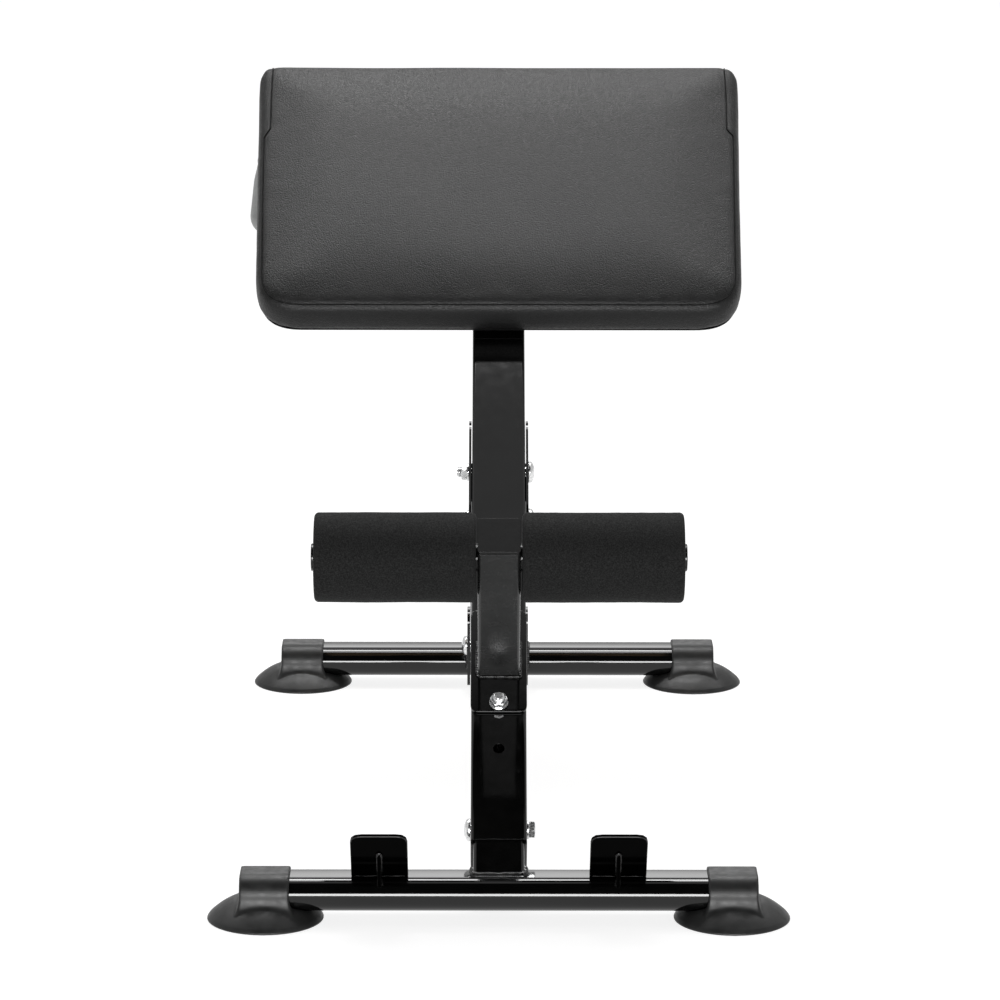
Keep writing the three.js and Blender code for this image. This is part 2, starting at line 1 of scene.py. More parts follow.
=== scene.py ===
"""Looks for the hyperextension roman chair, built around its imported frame. Metres, +Z up."""

import random
from math import asin, atan2, cos, exp, hypot, pi, radians, sin, sqrt, tan, tanh

import bmesh
import bpy
from mathutils import Matrix, Vector, bvhtree, kdtree, noise


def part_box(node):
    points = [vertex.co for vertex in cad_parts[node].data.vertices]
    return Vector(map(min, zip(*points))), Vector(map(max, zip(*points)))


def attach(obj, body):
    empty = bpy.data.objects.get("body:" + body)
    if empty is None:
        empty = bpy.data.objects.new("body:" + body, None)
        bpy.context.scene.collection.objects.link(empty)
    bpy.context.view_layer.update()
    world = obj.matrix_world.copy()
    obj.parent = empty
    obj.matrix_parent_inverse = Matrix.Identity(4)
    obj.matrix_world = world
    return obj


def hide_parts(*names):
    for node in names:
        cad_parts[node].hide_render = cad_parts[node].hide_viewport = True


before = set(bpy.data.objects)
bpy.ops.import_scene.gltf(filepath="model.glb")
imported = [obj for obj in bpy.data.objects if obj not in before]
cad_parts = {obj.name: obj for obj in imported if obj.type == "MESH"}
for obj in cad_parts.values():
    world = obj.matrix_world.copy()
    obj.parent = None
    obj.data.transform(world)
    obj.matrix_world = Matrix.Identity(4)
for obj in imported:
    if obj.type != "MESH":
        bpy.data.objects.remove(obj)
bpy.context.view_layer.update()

MM = 0.001
SIDES = {"left": -1, "right": 1}

# ---------------- places, taken from the frame

BEAM_TILT = radians(39)
BEAM_SIZE = 50 * MM

beam_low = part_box("main_beam")[0]
BEAM_ROOT = Vector((0, beam_low.y, beam_low.z + BEAM_SIZE * cos(BEAM_TILT)))
# Beam frame: Y runs up the beam, Z points out of its front face, which is at zero.
BEAM = Matrix.Translation(BEAM_ROOT) @ Matrix.Rotation(BEAM_TILT, 4, "X")
WORLD = Matrix.Identity(4)


def cross_tube(name):
    """Middle, depth and height of a base tube, whose section is a flat oval."""
    low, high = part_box(name)
    return (low + high) / 2, high.y - low.y, high.z - low.z


def box_in(place, node):
    """Lowest and highest corner of a CAD node, measured in another frame."""
    turn = place.inverted()
    corners = list(zip(*(turn @ vertex.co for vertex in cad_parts[node].data.vertices)))
    return Vector(map(min, corners)), Vector(map(max, corners))


def middle(place, node):
    low, high = box_in(place, node)
    return (low + high) / 2


def loose_object(name, shape):
    """A new object of a mesh, of other data, or of a shape that is still being built."""
    data = to_mesh(shape, name) if isinstance(shape, bmesh.types.BMesh) else shape
    thing = bpy.data.objects.new(name, data)
    bpy.context.scene.collection.objects.link(thing)
    return thing


def to_mesh(work, name):
    bmesh.ops.remove_doubles(work, verts=work.verts, dist=1e-7)
    bmesh.ops.recalc_face_normals(work, faces=work.faces)
    mesh = bpy.data.meshes.new(name)
    work.to_mesh(mesh)
    work.free()
    return mesh


def add_node(tree, kind, output, inputs=(), **settings):
    """A new shader node, with each input set to a value or linked. Returns one output."""
    node = tree.nodes.new("ShaderNode" + kind)
    for name, value in settings.items():
        setattr(node, name, value)
    for socket, value in dict(inputs).items():
        if isinstance(value, bpy.types.NodeSocket):
            tree.links.new(value, node.inputs[socket])
        else:
            node.inputs[socket].default_value = value
    return node.outputs[output]


# ---------------- camera, light and floor

CAMERA_LENS = 162
CAMERA_PLACE = Vector((-0.0084, -4.2045, 1.211))
CAMERA_PITCH = radians(12.39)
CAMERA_YAW = radians(-0.134)
CAMERA_ROLL = radians(0.1)


def make_camera():
    data = bpy.data.cameras.new("camera")
    data.lens = CAMERA_LENS
    data.sensor_width = 36
    camera = loose_object("camera", data)
    turn = (
        Matrix.Rotation(CAMERA_YAW, 4, "Z")
        @ Matrix.Rotation(pi / 2 - CAMERA_PITCH, 4, "X")
        @ Matrix.Rotation(CAMERA_ROLL, 4, "Z")
    )
    camera.matrix_world = Matrix.Translation(CAMERA_PLACE) @ turn
    bpy.context.scene.camera = camera


def make_floor():
    size = 40
    mesh = bpy.data.meshes.new("floor")
    corners = [(-size, -size, 0), (size, -size, 0), (size, size, 0), (-size, size, 0)]
    mesh.from_pydata(corners, [], [(0, 1, 2, 3)])
    floor = loose_object("floor", mesh)
    material = bpy.data.materials.new("floor_white")
    material.use_nodes = True
    bsdf = material.node_tree.nodes["Principled BSDF"]
    bsdf.inputs["Base Color"].default_value = (0.35, 0.35, 0.35, 1)
    bsdf.inputs["Roughness"].default_value = 0.9
    bsdf.inputs["Specular IOR Level"].default_value = 0
    bsdf.inputs["Emission Color"].default_value = (1, 1, 1, 1)
    bsdf.inputs["Emission Strength"].default_value = 0.84
    mesh.materials.append(material)


def make_area_light(name, place, target, size, radiance, diffuse=True):
    """A soft rectangular light of a given brightness. A strip only shows as a reflection."""
    data = bpy.data.lights.new(name, "AREA")
    data.shape = "RECTANGLE"
    data.size, data.size_y = size
    data.energy = radiance * pi * size[0] * size[1]
    light = loose_object(name, data)
    light.location = place
    light.rotation_euler = (Vector(target) - Vector(place)).to_track_quat("-Z", "Y").to_euler()
    light.visible_diffuse = diffuse


def make_world():
    """A white tent, with a brighter wall behind the chair and a dark flag high in front of it."""
    tent, wall, flag = 0.7, 2.6, 0.02
    regions = [((0, 0.91, 0.41), (0.976, 0.996), wall), ((0, -0.66, 0.75), (0.765, 0.79), flag)]
    world = bpy.data.worlds.new("studio")
    bpy.context.scene.world = world
    world.use_nodes = True
    tree = world.node_tree
    direction = add_node(tree, "TexCoord", "Generated")
    brightness = (tent, tent, tent, 1)
    for centre, (edge, full), radiance in regions:
        inputs = {0: direction, 1: centre}
        towards = add_node(tree, "VectorMath", "Value", inputs, operation="DOT_PRODUCT")
        inputs = {"Value": towards, "From Min": edge, "From Max": full}
        inside = add_node(tree, "MapRange", "Result", inputs, interpolation_type="SMOOTHSTEP")
        inputs = {"Factor": inside, "A": brightness, "B": (radiance, radiance, radiance, 1)}
        brightness = add_node(tree, "Mix", "Result", inputs, data_type="RGBA")
    tree.links.new(brightness, tree.nodes["Background"].inputs["Color"])


def make_studio():
    bpy.context.scene.view_settings.view_transform = "Standard"
    make_camera()
    make_floor()
    make_world()
    make_area_light("overhead", (-0.07, 0.6, 2.1), (-0.07, 0.6, 0), (0.84, 1.0), 6.8)
    make_area_light("front_strip", (0, -4.6, 0.47), (0, -0.4, 0.02), (4.4, 1.1), 23, diffuse=False)
    make_area_light("rear_strip", (0, 1.1, 2.75), (0, -0.4, 0.02), (4.4, 0.34), 15, diffuse=False)


# ---------------- materials

SPREAD = (0.3, 0.7)  # most values of a noise texture lie between these


class Surface:
    """A Principled material whose colour, roughness and relief vary over the surface."""

    def __init__(self, name, **sockets):
        self.material = bpy.data.materials.new(name)
        self.material.use_nodes = True
        self.tree = self.material.node_tree
        self.bsdf = self.tree.nodes["Principled BSDF"]
        for socket, value in sockets.items():
            self.bsdf.inputs[socket.replace("_", " ")].default_value = value
        self.place = add_node(self.tree, "TexCoord", "Object")
        self.height = 0

    def noise(self, scale, detail=3.0, stretch=None):
        place = self.place
        if stretch:
            place = add_node(self.tree, "Mapping", "Vector", {"Vector": place, "Scale": stretch})
        inputs = {"Scale": scale, "Detail": detail, "Vector": place}
        return add_node(self.tree, "TexNoise", "Fac", inputs)

    def cells(self, scale):
        inputs = {"Scale": scale, "Vector": self.place}
        return add_node(self.tree, "TexVoronoi", "Distance", inputs, feature="SMOOTH_F1")

    def ranged(self, value, source, target):
        inputs = {"Value": value, "From Min": source[0], "From Max": source[1]}
        inputs |= {"To Min": target[0], "To Max": target[1]}
        return add_node(self.tree, "MapRange", "Result", inputs)

    def color(self, value, low, high, source=SPREAD):
        """Base colour runs from low to high as a texture value runs over its source range."""
        share = self.ranged(value, source, (0, 1))
        inputs = {"Factor": share, "A": (*low, 1), "B": (*high, 1)}
        mix = add_node(self.tree, "Mix", "Result", inputs, data_type="RGBA")
        self.tree.links.new(mix, self.bsdf.inputs["Base Color"])

    def roughness(self, value, target, source=SPREAD):
        self.tree.links.new(self.ranged(value, source, target), self.bsdf.inputs["Roughness"])

    def relief(self, value, depth):
        """Adds a layer of relief, with its depth in metres."""
        inputs = {0: value, 1: depth, 2: self.height}
        self.height = add_node(self.tree, "Math", "Value", inputs, operation="MULTIPLY_ADD")
        return self

    def done(self):
        inputs = {"Height": self.height, "Distance": 1, "Strength": 1}
        normal = add_node(self.tree, "Bump", "Normal", inputs)
        self.tree.links.new(normal, self.bsdf.inputs["Normal"])
        return self.material


def grey(value):
    """A near-neutral grey, with a slight green tint."""
    return (value, value * 1.02, value * 1.012)


def gloss_paint(name, ior, shades, roughness, grain):
    surface = Surface(name, IOR=ior)
    surface.color(surface.noise(35), *map(grey, shades))
    surface.roughness(surface.noise(90), roughness)
    surface.relief(surface.noise(260, 2), grain)
    return surface.relief(surface.noise(45, 1), 2e-5).done()


# A lighter, rougher copy of the black powder coat for the roller arm: its raised base colour is painted
# light that brightens the arm's faces.
def lit_paint_copy():
    surface = Surface("lit_black_powder_coat", IOR=1.36)
    surface.color(surface.noise(40), grey(0.024), grey(0.029))
    surface.roughness(surface.noise(110), (0.22, 0.30))
    surface.relief(surface.noise(600, 3), 4e-6)
    return surface.relief(surface.noise(45, 1), 7e-6).done()


def zinc_steel():
    surface = Surface("zinc_plated_steel", Metallic=1.0)
    surface.color(surface.noise(420, 5), (0.55, 0.56, 0.57), (0.86, 0.86, 0.85))
    surface.roughness(surface.noise(700, 4), (0.16, 0.34))
    return surface.relief(surface.noise(1600, 3), 8e-6).done()


def foot_rubber():
    surface = Surface("foot_rubber", IOR=1.36)
    surface.color(surface.noise(60, 5), grey(0.013), grey(0.021))
    surface.roughness(surface.noise(140, 3), (0.36, 0.50))
    surface.relief(surface.noise(2600, 3), 1.4e-5)
    return surface.relief(surface.noise(70, 2), 6e-5).done()


def grip_rubber():
    surface = Surface("grip_rubber", IOR=1.5)
    surface.color(surface.noise(120, 4), grey(0.22), grey(0.28))
    surface.roughness(surface.noise(200, 3), (0.46, 0.62))
    surface.relief(surface.cells(1500), 4e-5)
    return surface.relief(surface.noise(3000, 2), 1e-5).done()


def roller_foam():
    surface = Surface("closed_cell_foam", IOR=1.22)
    surface.color(surface.noise(900, 6), grey(0.005), grey(0.027), (0.38, 0.75))
    surface.roughness(surface.noise(500, 3), (0.72, 0.95))
    surface.relief(surface.cells(1100), 1.2e-4)
    surface.relief(surface.noise(2200, 3), 7e-5)
    return surface.relief(surface.noise(260, 4), 1.2e-4).done()


def leatherette():
    surface = Surface("black_leatherette", IOR=1.33)
    # The base colour darkens towards the cell borders, the creases that the relief below sinks: painted
    # shade in the grain's creases.
    surface.color(surface.cells(900), grey(0.006), grey(0.0015), (0.05, 0.55))
    surface.roughness(surface.noise(330, 4), (0.43, 0.56))
    surface.relief(surface.cells(900), -3.4e-4)
    surface.relief(surface.noise(1600, 3), 1e-4)
    return surface.relief(surface.noise(60, 3), 1.2e-4).done()


# Thread for the stitches. The same dark material also colours the tube along the seam, where it paints
# the crease's shade.
def seam_thread_and_shade():
    surface = Surface("seam_thread_and_shade", IOR=1.2)
    surface.color(surface.noise(2500, 2), grey(0.001), grey(0.003))
    surface.roughness(surface.noise(1200, 2), (0.55, 0.8))
    return surface.relief(surface.noise(4000, 2), 6e-5).done()


def cap_plastic():
    surface = Surface("cap_plastic", IOR=1.42)
    surface.color(surface.noise(90, 4), grey(0.003), grey(0.005))
    surface.roughness(surface.noise(300, 3), (0.17, 0.22))
    surface.relief(surface.noise(2800, 3), 2e-6)
    return surface.relief(surface.noise(80, 2), 6e-6).done()


def board_plywood():
    surface = Surface("plywood", IOR=1.45)
    grain = surface.noise(26, 6, stretch=(0.6, 9, 9))
    surface.color(grain, (0.36, 0.22, 0.11), (0.62, 0.44, 0.26), (0.3, 0.72))
    surface.roughness(surface.noise(200, 4), (0.6, 0.85))
    surface.relief(grain, 1.5e-4)
    return surface.relief(surface.noise(1400, 4), 5e-5).done()


MATERIALS = {
    "black_paint": gloss_paint("black_powder_coat", 1.45, (0.0012, 0.003), (0.05, 0.085), 7e-6),
    "foot_rubber": foot_rubber(),
    "grip_rubber": grip_rubber(),
    "cap_plastic": cap_plastic(),
    "zinc_steel": zinc_steel(),
    "roller_foam": roller_foam(),
    "pad_leatherette": leatherette(),
    "board_wood": board_plywood(),
}
THREAD_AND_SEAM_SHADE = seam_thread_and_shade()
LIT_PAINT = lit_paint_copy()
# A darker copy of the black powder coat with almost no reflection, for the foot plates and their
# gussets: painted shade. Their bevelled edges keep the plain coat, so the edges still catch highlights.
SHADED_PAINT = gloss_paint("shaded_black_powder_coat", 1.05, (0.0002, 0.0006), (0.07, 0.13), 9e-6)


# ---------------- mesh building

def add_piece(name, shape, slot, place=WORLD, body="frame", replaces=(), material=None, crease=40):
    """Puts a shape, built in its own frame, into the row frame, hangs it on its body and hides the CAD
    nodes that it replaces.
    """
    piece = loose_object(name, shape)
    mesh = piece.data
    mesh.transform(place)
    mesh.materials.clear()
    mesh.materials.append(material or MATERIALS[slot])
    mesh.shade_smooth()
    mesh.set_sharp_from_angle(angle=radians(crease))
    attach(piece, body)
    if replaces:
        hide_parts(*replaces)
    return piece


def loft(rings, closed=False, work=None):
    """Skins equal rings of points. An open loft gets a face over each end."""
    work = bmesh.new() if work is None else work
    rows = [[work.verts.new(point) for point in row] for row in rings]
    pairs = list(zip(rows, rows[1:] + rows[:1])) if closed else list(zip(rows, rows[1:]))
    for low, high in pairs:
        for i in range(len(low)):
            j = (i + 1) % len(low)
            work.faces.new((low[i], low[j], high[j], high[i]))
    if not closed:
        work.faces.new(list(reversed(rows[0])))
        work.faces.new(rows[-1])
    return work


def ring(radius, height, sides):
    """Points round Z. radius may be a number or a function of the angle."""
    size = radius if callable(radius) else (lambda turn: radius)
    turns = (2 * pi * i / sides for i in range(sides))
    return [Vector((size(a) * cos(a), size(a) * sin(a), height)) for a in turns]


def lathe(profile, sides, closed=False):
    """Turns a profile of (radius, height) about Z."""
    return loft([ring(max(radius, 1e-5), height, sides) for radius, height in profile], closed)


def arc(centre, radius, start, end, steps):
    """Points of a profile arc, with angles in degrees."""
    turns = (radians(start + (end - start) * i / steps) for i in range(steps + 1))
    return [(centre[0] + radius * cos(a), centre[1] + radius * sin(a)) for a in turns]


def rounded_outline(corners, steps):
    """A polygon whose corners (x, y, run) are rounded over their own runs."""
    points = []
    places = [Vector((x, y)) for x, y, _ in corners]
    for i, (x, y, run) in enumerate(corners):
        corner = places[i]
        before = corner + (places[i - 1] - corner).normalized() * run
        after = corner + (places[(i + 1) % len(corners)] - corner).normalized() * run
        for k in range(steps + 1):
            t = k / steps
            points.append(before * (1 - t) ** 2 + corner * 2 * t * (1 - t) + after * t * t)
    return points


def rounded_rectangle(half, bottom, top, run, steps):
    corners = ((-half, bottom), (half, bottom), (half, top), (-half, top))
    return rounded_outline([(x, y, run) for x, y in corners], steps)


def resampled(points, count, closed=True):
    """The same line with evenly spaced points."""
    line = points + points[:1] if closed else points
    lengths = [(b - a).length for a, b in zip(line, line[1:])]
    total = sum(lengths)
    steps = count if closed else count - 1
    result, segment, passed = [], 0, 0.0
    for k in range(count):
        goal = total * k / steps
        while segment < len(lengths) - 1 and passed + lengths[segment] < goal:
            passed += lengths[segment]
            segment += 1
        share = (goal - passed) / lengths[segment] if lengths[segment] else 0
        result.append(line[segment].lerp(line[segment + 1], min(share, 1)))
    return result


def tube(work, path, radius, sides, ends=0.0):
    """Sweeps a round section along a path. radius may be a number or a function of the share."""
    size = radius if callable(radius) else (lambda share: radius)
    count = len(path)
    rings = []
    side = None
    for i, point in enumerate(path):
        along = (path[min(i + 1, count - 1)] - path[max(i - 1, 0)]).normalized()
        if side is None:
            side = along.cross(along.orthogonal()).normalized()
        side = (side - along * side.dot(along)).normalized()
        other = along.cross(side)
        share = i / max(count - 1, 1)
        r = size(share)
        if ends:
            r *= min(1, (min(share, 1 - share) / ends) ** 0.5 + 0.05)
        turns = (2 * pi * k / sides for k in range(sides))
        rings.append([point + (side * cos(a) + other * sin(a)) * r for a in turns])
    loft(rings, work=work)


def facing(direction):
    """Turns Z onto a direction."""
    return Vector(direction).to_track_quat("Z", "Y").to_matrix().to_4x4()


def apply_modifiers(piece):
    depsgraph = bpy.context.evaluated_depsgraph_get()
    mesh = bpy.data.meshes.new_from_object(piece.evaluated_get(depsgraph))
    piece.modifiers.clear()
    piece.data = mesh


def surface_tree(mesh):
    """For finding the nearest point on a mesh."""
    return bvhtree.BVHTree.FromPolygons(
        [vertex.co for vertex in mesh.vertices], [polygon.vertices for polygon in mesh.polygons],
    )


def boolean(piece, tool, operation):
    """Joins or cuts by another object, which is used up."""
    modifier = piece.modifiers.new("boolean", "BOOLEAN")
    modifier.operation = operation
    modifier.solver = "EXACT"
    modifier.object = tool
    apply_modifiers(piece)
    bpy.data.objects.remove(tool)


# ---------------- finish of the CAD's own pieces

SHARP_ANGLE = radians(46)
WELD_GAP = 0.01 * MM


def smooth_by_angle(angle_limit):
    """A node group that shades smooth, and keeps edges sharper than the angle crisp."""
    group = bpy.data.node_groups.new("smooth_by_angle", "GeometryNodeTree")
    group.interface.new_socket("Geometry", in_out="INPUT", socket_type="NodeSocketGeometry")
    group.interface.new_socket("Geometry", in_out="OUTPUT", socket_type="NodeSocketGeometry")
    nodes, links = group.nodes, group.links
    faces = nodes.new("GeometryNodeSetShadeSmooth")
    edges = nodes.new("GeometryNodeSetShadeSmooth")
    faces.domain, edges.domain = "FACE", "EDGE"
    edges.inputs["Shade Smooth"].default_value = False
    angle = nodes.new("GeometryNodeInputMeshEdgeAngle")
    steep = nodes.new("FunctionNodeCompare")
    steep.inputs["B"].default_value = angle_limit
    links.new(nodes.new("NodeGroupInput").outputs[0], faces.inputs["Geometry"])
    links.new(faces.outputs["Geometry"], edges.inputs["Geometry"])
    links.new(angle.outputs["Unsigned Angle"], steep.inputs["A"])
    links.new(steep.outputs["Result"], edges.inputs["Selection"])
    links.new(edges.outputs["Geometry"], nodes.new("NodeGroupOutput").inputs[0])
    return group


SMOOTH = smooth_by_angle(SHARP_ANGLE)


def finish_node(name, material, bevel, edge_material=None):
    """Welds a CAD node's facets, softens its edges and shades it. Its own vertices stay."""
    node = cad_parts[name]
    if "custom_normal" in node.data.attributes:
        node.data.attributes.remove(node.data.attributes["custom_normal"])
    node.data.materials.clear()
    node.data.materials.append(material)
    weld = node.modifiers.new("weld", "WELD")
    weld.merge_threshold = WELD_GAP
    planes = node.modifiers.new("planes", "DECIMATE")
    planes.decimate_type = "DISSOLVE"
    planes.angle_limit = radians(0.5)
    if bevel:
        edge = node.modifiers.new("edge", "BEVEL")
        edge.limit_method = "ANGLE"
        edge.angle_limit = SHARP_ANGLE
        edge.width = bevel
        edge.segments = 2
        if edge_material:
            node.data.materials.append(edge_material)
            edge.material = 1
    shading = node.modifiers.new("shading", "NODES")
    shading.node_group = SMOOTH
    normals = node.modifiers.new("normals", "WEIGHTED_NORMAL")
    normals.keep_sharp = True


TUBE_EDGE = 0.9 * MM
PLATE_EDGE = 0.7 * MM
GUSSET_EDGE = 1.2 * MM
CAP_EDGE = 1.2 * MM
PAINT, PLASTIC, WOOD = MATERIALS["black_paint"], MATERIALS["cap_plastic"], MATERIALS["board_wood"]
KEPT_NODES = [
    (("front_base_tube", "rear_base_tube", "main_beam", "rear_strut"), PAINT, TUBE_EDGE),
    (("rear_cheek_left", "rear_cheek_right", "arm_plate"), PAINT, PLATE_EDGE),
    (("pad_bar_lower", "pad_bar_upper"), PAINT, PLATE_EDGE),
    (("front_stub",), PAINT, 0),
    # The roller arm takes the lighter copy of the coat: painted light.
    (("roller_arm",), LIT_PAINT, TUBE_EDGE),
    # The foot plates and gussets take the darker copy of the coat: painted shade.
    (("foot_plate_left", "foot_plate_right"), SHADED_PAINT, PLATE_EDGE, PAINT),
    (("foot_gusset_left", "foot_gusset_right"), SHADED_PAINT, GUSSET_EDGE, PAINT),
    (("beam_top_plug",), PLASTIC, PLATE_EDGE),
    (("arm_end_cap",), PLASTIC, CAP_EDGE),
    (("roller_axle",), PLASTIC, 0),
    (("pad_board",), WOOD, 0),
]


def finish_kept_nodes():
    for names, *finish in KEPT_NODES:
        for name in names:
            finish_node(name, *finish)


# ---------------- rubber feet

FOOT_DISC_RADIUS = 51.5 * MM
FOOT_RIM = 2.4 * MM
FOOT_DOME_HEIGHT = 18 * MM
FOOT_DOME_FLAT = 26 * MM
FOOT_DOME_POWER = 1.6
FOOT_WAIST = 26 * MM
FOOT_FLARE = (4.5 * MM, 6 * MM)
FOOT_CAP_BOTTOM = 8 * MM
FOOT_CAP_LENGTH = 44 * MM
FOOT_CAP_CORNER = 2.6 * MM
FOOT_CAP_EDGE = 1.2 * MM
FOOT_CLEARANCE = 0.6 * MM
FOOT_WALL = 3 * MM
FOOT_VOXEL = 0.75 * MM
FOOT_LIP = 1.2 * MM


def dome_height(radius):
    share = min(max((FOOT_DISC_RADIUS - radius) / (FOOT_DISC_RADIUS - FOOT_DOME_FLAT), 0), 1)
    return FOOT_DOME_HEIGHT - (FOOT_DOME_HEIGHT - FOOT_RIM) * (1 - share) ** FOOT_DOME_POWER


def foot_dome():
    """A low dome with a thin round rim and a shallow hollow under it."""
    rim = FOOT_RIM / 2
    rise = []
    for step in range(1, 13):
        radius = FOOT_DISC_RADIUS + (FOOT_DOME_FLAT - FOOT_DISC_RADIUS) * step / 12
        rise.append((radius, dome_height(radius)))
    under = [(0, 1.4 * MM), (FOOT_DISC_RADIUS - 9 * MM, 1.4 * MM), (FOOT_DISC_RADIUS - 7 * MM, 0)]
    edge = arc((FOOT_DISC_RADIUS - rim, rim), rim, -90, 60, 5)
    return lathe(under + edge + rise + [(0, FOOT_DOME_HEIGHT)], 96)


def foot_ring(half_x, half_y, z):
    """One level of the sleeve, with a lip that turns out where it meets the dome."""
    level = []
    for point in resampled(rounded_rectangle(half_x, -half_y, half_y, FOOT_CAP_CORNER, 5), 160):
        rise = max(z - dome_height(point.length), 0)
        lip = point.normalized() * FOOT_LIP * exp(-rise / FOOT_LIP)
        level.append((point + lip).to_3d() + Vector((0, 0, z)))
    return level


def foot_cap(length, depth, height, centre_z):
    """The sleeve round the tube's end: oval above its waist, and flared below it."""
    half = length / 2
    rings = []
    for step in range(25):
        share = 1 - step / 24
        z = FOOT_WAIST - (FOOT_WAIST - FOOT_CAP_BOTTOM) * share
        flare_x, flare_y = (flare * share ** 1.5 for flare in FOOT_FLARE)
        rings.append(foot_ring(half + flare_x, depth / 2 + flare_y, z))
    radius = height / 2
    start = asin((FOOT_WAIST - centre_z) / radius)
    for step in range(1, 13):
        turn = start + (pi / 2 - start) * step / 12
        half_y = depth / 2 - radius + radius * cos(turn)
        edge = FOOT_CAP_EDGE * max(0, sin(turn) - 0.94) / 0.06
        rings.append(foot_ring(half - edge, half_y, centre_z + radius * sin(turn)))
    return loft(rings)


def foot_socket(depth, height, centre_z, from_x, to_x):
    """The room that the oval tube's end takes in the sleeve."""
    half_flat, radius = (depth - height) / 2, height / 2
    section = []
    for sign in (1, -1):
        for step in range(17):
            turn = pi * (step / 16 - 0.5)
            y, z = half_flat + radius * cos(turn), radius * sin(turn)
            section.append((sign * y, sign * z))
    return loft([[Vector((x, y, centre_z + z)) for y, z in section] for x in (from_x, to_x)])


def make_feet():
    centre, depth, height = cross_tube("front_base_tube")
    tube_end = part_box("front_base_tube")[1].x - middle(WORLD, "rubber_foot_front_right").x
    foot = loose_object("foot_shape", foot_dome())
    cap = foot_cap(FOOT_CAP_LENGTH, depth + 2 * FOOT_WALL, height + 2 * FOOT_WALL, centre.z)
    boolean(foot, loose_object("cap", cap), "UNION")
    room = (depth + FOOT_CLEARANCE, height + FOOT_CLEARANCE)
    socket = foot_socket(*room, centre.z, -FOOT_CAP_LENGTH, tube_end)
    boolean(foot, loose_object("socket", socket), "DIFFERENCE")
    remesh = foot.modifiers.new("remesh", "REMESH")
    remesh.mode = "VOXEL"
    remesh.voxel_size = FOOT_VOXEL * 1
    soften = foot.modifiers.new("soften", "SMOOTH")
    soften.factor = 0.5
    soften.iterations = 2
    apply_modifiers(foot)
    for vertex in foot.data.vertices:
        vertex.co.z = max(vertex.co.z, 0)
    for end in ("front", "rear"):
        for side_name, side in SIDES.items():
            node = f"rubber_foot_{end}_{side_name}"
            spot = middle(WORLD, node)
            outwards = Matrix.Rotation(0 if side > 0 else pi, 4, "Z")
            place = Matrix.Translation((spot.x, spot.y, 0)) @ outwards
            mesh = foot.data.copy()
            add_piece(f"foot_{end}_{side_name}", mesh, "foot_rubber", place, replaces=[node], crease=180)
    bpy.data.objects.remove(foot)


# ---------------- foam rollers, axle plugs

FOAM_RADIUS = 40 * MM
FOAM_BORE = 13.4 * MM
FOAM_EDGE = 4 * MM
FOAM_UNEVEN = 0.35 * MM
FOAM_PITTED = 0.12 * MM
AXLE_RADIUS = 12.5 * MM


def roller_profile(half):
    edge = FOAM_EDGE
    end = arc((FOAM_RADIUS - edge, half - edge), edge, 0, 90, 8)
    bore = [(FOAM_BORE + 3 * MM, half - 0.4 * MM), (FOAM_BORE + 0.6 * MM, half - 1.2 * MM)]
    outside = [(FOAM_RADIUS, (half - edge) * (step / 30)) for step in range(-30, 31)]
    top = end + bore
    bottom = [(radius, -height) for radius, height in reversed(top)]
    inside = [(FOAM_BORE, half - 3 * MM), (FOAM_BORE, 3 * MM - half)]
    return bottom[:-1] + outside + top[1:] + inside


def make_rollers():
    """Foam sleeves that are a little uneven, as moulded foam is."""
    for side_name, side in SIDES.items():
        node = f"foam_roller_{side_name}"
        low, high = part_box(node)
        half = (high.x - low.x) / 2
        work = lathe(roller_profile(half), 120, closed=True)
        for vertex in work.verts:
            out = Vector((vertex.co.x, vertex.co.y, 0)).normalized()
            if out.dot(vertex.co) > FOAM_RADIUS / 2:
                uneven = noise.noise(vertex.co * 22 + Vector((side, 0, 0))) * FOAM_UNEVEN
                uneven += noise.noise(vertex.co * 130) * FOAM_PITTED
                vertex.co += out * (uneven - 0.2 * MM)
        place = Matrix.Translation(middle(WORLD, node)) @ facing((side, 0, 0))
        body = f"{side_name}_roller"
        roller = add_piece(f"roller_{side_name}", work, "roller_foam", place, body, [node], crease=60)


def make_axle_plugs():
    """Round plugs in the axle's ends, with a dished middle."""
    for side_name, side in SIDES.items():
        node = f"axle_plug_{side_name}"
        low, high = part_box(node)
        face = high.x if side > 0 else low.x
        flange, rim, insert = AXLE_RADIUS - 0.3 * MM, 2.7 * MM, 10.7 * MM
        dish = [(0, -1 * MM), (6 * MM, -0.9 * MM), (8 * MM, -0.1 * MM)]
        edge = arc((flange - 1 * MM, -1 * MM), 1 * MM, 90, 0, 4)
        rest = [(flange, -rim), (insert, -rim), (insert, -15 * MM), (0, -15 * MM)]
        shape = lathe(dish + edge + rest, 64)
        centre = middle(WORLD, node)
        place = Matrix.Translation((face, centre.y, centre.z)) @ facing((side, 0, 0))
        add_piece(f"axle_end_{side_name}", shape, "cap_plastic", place, replaces=[node], crease=35)


# ---------------- fasteners

M10 = {"radius": 5 * MM, "head": 10.3 * MM, "height": 5.6 * MM, "key": 3.5 * MM, "pitch": 1.5 * MM}
M8 = {"radius": 4 * MM, "head": 8 * MM, "height": 4.5 * MM, "key": 2.9 * MM, "pitch": 1.25 * MM}
THREAD_DEPTH = 0.75 * MM
NUT_ACROSS = 14 * MM
WASHER_RADIUS = 8.4 * MM


def hexagon_reach(apothem, angle):
    """Distance from the middle of a hexagon to its edge."""
    return apothem / cos((angle % (pi / 3)) - pi / 6)


